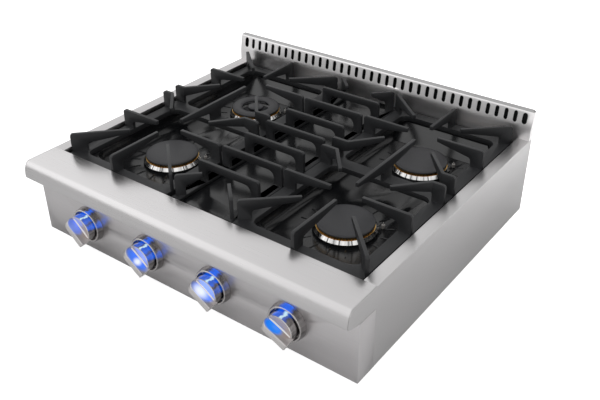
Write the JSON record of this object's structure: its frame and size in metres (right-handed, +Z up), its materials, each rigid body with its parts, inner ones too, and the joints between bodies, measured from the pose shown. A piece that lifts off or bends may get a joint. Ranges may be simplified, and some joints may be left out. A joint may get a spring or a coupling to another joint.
{
  "type": "gas cooktop",
  "caption": "Built-in gas rangetop with a steel casing, rolled front edge, slotted back guard, cast-iron grates over recessed sealed burners, and push-and-turn front controls.",
  "frame": {"origin": "middle of the outer width and depth, on the flat base", "axes": "+Z up, -Y towards the user, +X to the user's right"},
  "size_m": [0.759, 0.6848, 0.2327],
  "materials": {
    "stainless": "brushed stainless sheet, grain along the width",
    "galvanised": "galvanised sheet and pipe",
    "tray_enamel": "glossy black porcelain enamel",
    "cast_iron": "matte black enamelled casting",
    "cap_enamel": "satin black enamel",
    "polished_steel": "polished ring with a brass port band",
    "aluminium": "as cast and as drawn",
    "ceramic": "white ceramic with a steel tip",
    "knob_steel": "brushed, with blue light on it",
    "bezel_steel": "polished ring, with blue light on it",
    "brass": "machined",
    "black_plastic": "moulded"
  },
  "bodies": {
    "casing": {"side_panel_left": "stainless", "side_panel_right": "stainless", "bullnose": "stainless", "front_panel": "stainless", "backguard": "stainless", "bottom_pan": "galvanised", "rear_panel": "galvanised", "tray_shelf_left": "galvanised", "tray_shelf_right": "galvanised", "gas_manifold": "galvanised", "feed_pipe": "galvanised", "manifold_bracket_left": "galvanised", "manifold_bracket_right": "galvanised", "spill_tray": "tray_enamel", "burner_base_front_left": "aluminium", "burner_head_front_left": "polished_steel", "igniter_front_left": "ceramic", "supply_tube_front_left": "aluminium", "burner_base_front_right": "aluminium", "burner_head_front_right": "polished_steel", "igniter_front_right": "ceramic", "supply_tube_front_right": "aluminium", "burner_base_rear_right": "aluminium", "burner_head_rear_right": "polished_steel", "igniter_rear_right": "ceramic", "supply_tube_rear_right": "aluminium", "burner_base_rear_left": "aluminium", "burner_head_rear_left": "polished_steel", "igniter_rear_left": "ceramic", "supply_tube_rear_left": "aluminium", "simmer_burner_rear_left": "cap_enamel", "knob_bezel_1": "bezel_steel", "gas_valve_1": "brass", "knob_bezel_2": "bezel_steel", "gas_valve_2": "brass", "knob_bezel_3": "bezel_steel", "gas_valve_3": "brass", "knob_bezel_4": "bezel_steel", "gas_valve_4": "brass", "gas_regulator": "aluminium", "spark_module": "black_plastic"},
    "grate_left": {"grate_left": "cast_iron"},
    "grate_centre": {"grate_centre": "cast_iron"},
    "grate_right": {"grate_right": "cast_iron"},
    "burner_cap_front_left": {"burner_cap_front_left": "cap_enamel"},
    "burner_cap_front_right": {"burner_cap_front_right": "cap_enamel"},
    "burner_cap_rear_right": {"burner_cap_rear_right": "cap_enamel"},
    "burner_cap_rear_left": {"burner_cap_rear_left": "cap_enamel"},
    "valve_plug_1": {"valve_plug_1": "brass"},
    "knob_1": {"knob_1": "knob_steel", "valve_stem_1": "brass"},
    "valve_plug_2": {"valve_plug_2": "brass"},
    "knob_2": {"knob_2": "knob_steel", "valve_stem_2": "brass"},
    "valve_plug_3": {"valve_plug_3": "brass"},
    "knob_3": {"knob_3": "knob_steel", "valve_stem_3": "brass"},
    "valve_plug_4": {"valve_plug_4": "brass"},
    "knob_4": {"knob_4": "knob_steel", "valve_stem_4": "brass"}
  },
  "joints": [
    {"name": "grate_left_lift", "type": "slide", "parent": "casing", "child": "grate_left", "axis": [0, 0, 1], "range_m": [0, 0.06]},
    {"name": "grate_centre_lift", "type": "slide", "parent": "casing", "child": "grate_centre", "axis": [0, 0, 1], "range_m": [0, 0.06]},
    {"name": "grate_right_lift", "type": "slide", "parent": "casing", "child": "grate_right", "axis": [0, 0, 1], "range_m": [0, 0.06]},
    {"name": "burner_cap_front_left_lift", "type": "slide", "parent": "casing", "child": "burner_cap_front_left", "axis": [0, 0, 1], "range_m": [0, 0.03]},
    {"name": "burner_cap_front_right_lift", "type": "slide", "parent": "casing", "child": "burner_cap_front_right", "axis": [0, 0, 1], "range_m": [0, 0.03]},
    {"name": "burner_cap_rear_right_lift", "type": "slide", "parent": "casing", "child": "burner_cap_rear_right", "axis": [0, 0, 1], "range_m": [0, 0.03]},
    {"name": "burner_cap_rear_left_lift", "type": "slide", "parent": "casing", "child": "burner_cap_rear_left", "axis": [0, 0, 1], "range_m": [0, 0.03]},
    {"name": "knob_1_turn", "type": "hinge", "parent": "casing", "child": "valve_plug_1", "pos_m": [-0.243, -0.29595, 0.0625], "axis": [0, -1, 0], "range_deg": [-48, 222]},
    {"name": "knob_1_push", "type": "slide", "parent": "valve_plug_1", "child": "knob_1", "axis": [0, 1, 0], "range_m": [0, 0.0035], "stiffness_N_per_m": 1500},
    {"name": "knob_2_turn", "type": "hinge", "parent": "casing", "child": "valve_plug_2", "pos_m": [-0.081, -0.29595, 0.0625], "axis": [0, -1, 0], "range_deg": [-53, 217]},
    {"name": "knob_2_push", "type": "slide", "parent": "valve_plug_2", "child": "knob_2", "axis": [0, 1, 0], "range_m": [0, 0.0035], "stiffness_N_per_m": 1500},
    {"name": "knob_3_turn", "type": "hinge", "parent": "casing", "child": "valve_plug_3", "pos_m": [0.081, -0.29595, 0.0625], "axis": [0, -1, 0], "range_deg": [-58, 212]},
    {"name": "knob_3_push", "type": "slide", "parent": "valve_plug_3", "child": "knob_3", "axis": [0, 1, 0], "range_m": [0, 0.0035], "stiffness_N_per_m": 1500},
    {"name": "knob_4_turn", "type": "hinge", "parent": "casing", "child": "valve_plug_4", "pos_m": [0.243, -0.29595, 0.0625], "axis": [0, -1, 0], "range_deg": [-65, 205]},
    {"name": "knob_4_push", "type": "slide", "parent": "valve_plug_4", "child": "knob_4", "axis": [0, 1, 0], "range_m": [0, 0.0035], "stiffness_N_per_m": 1500}
  ]
}
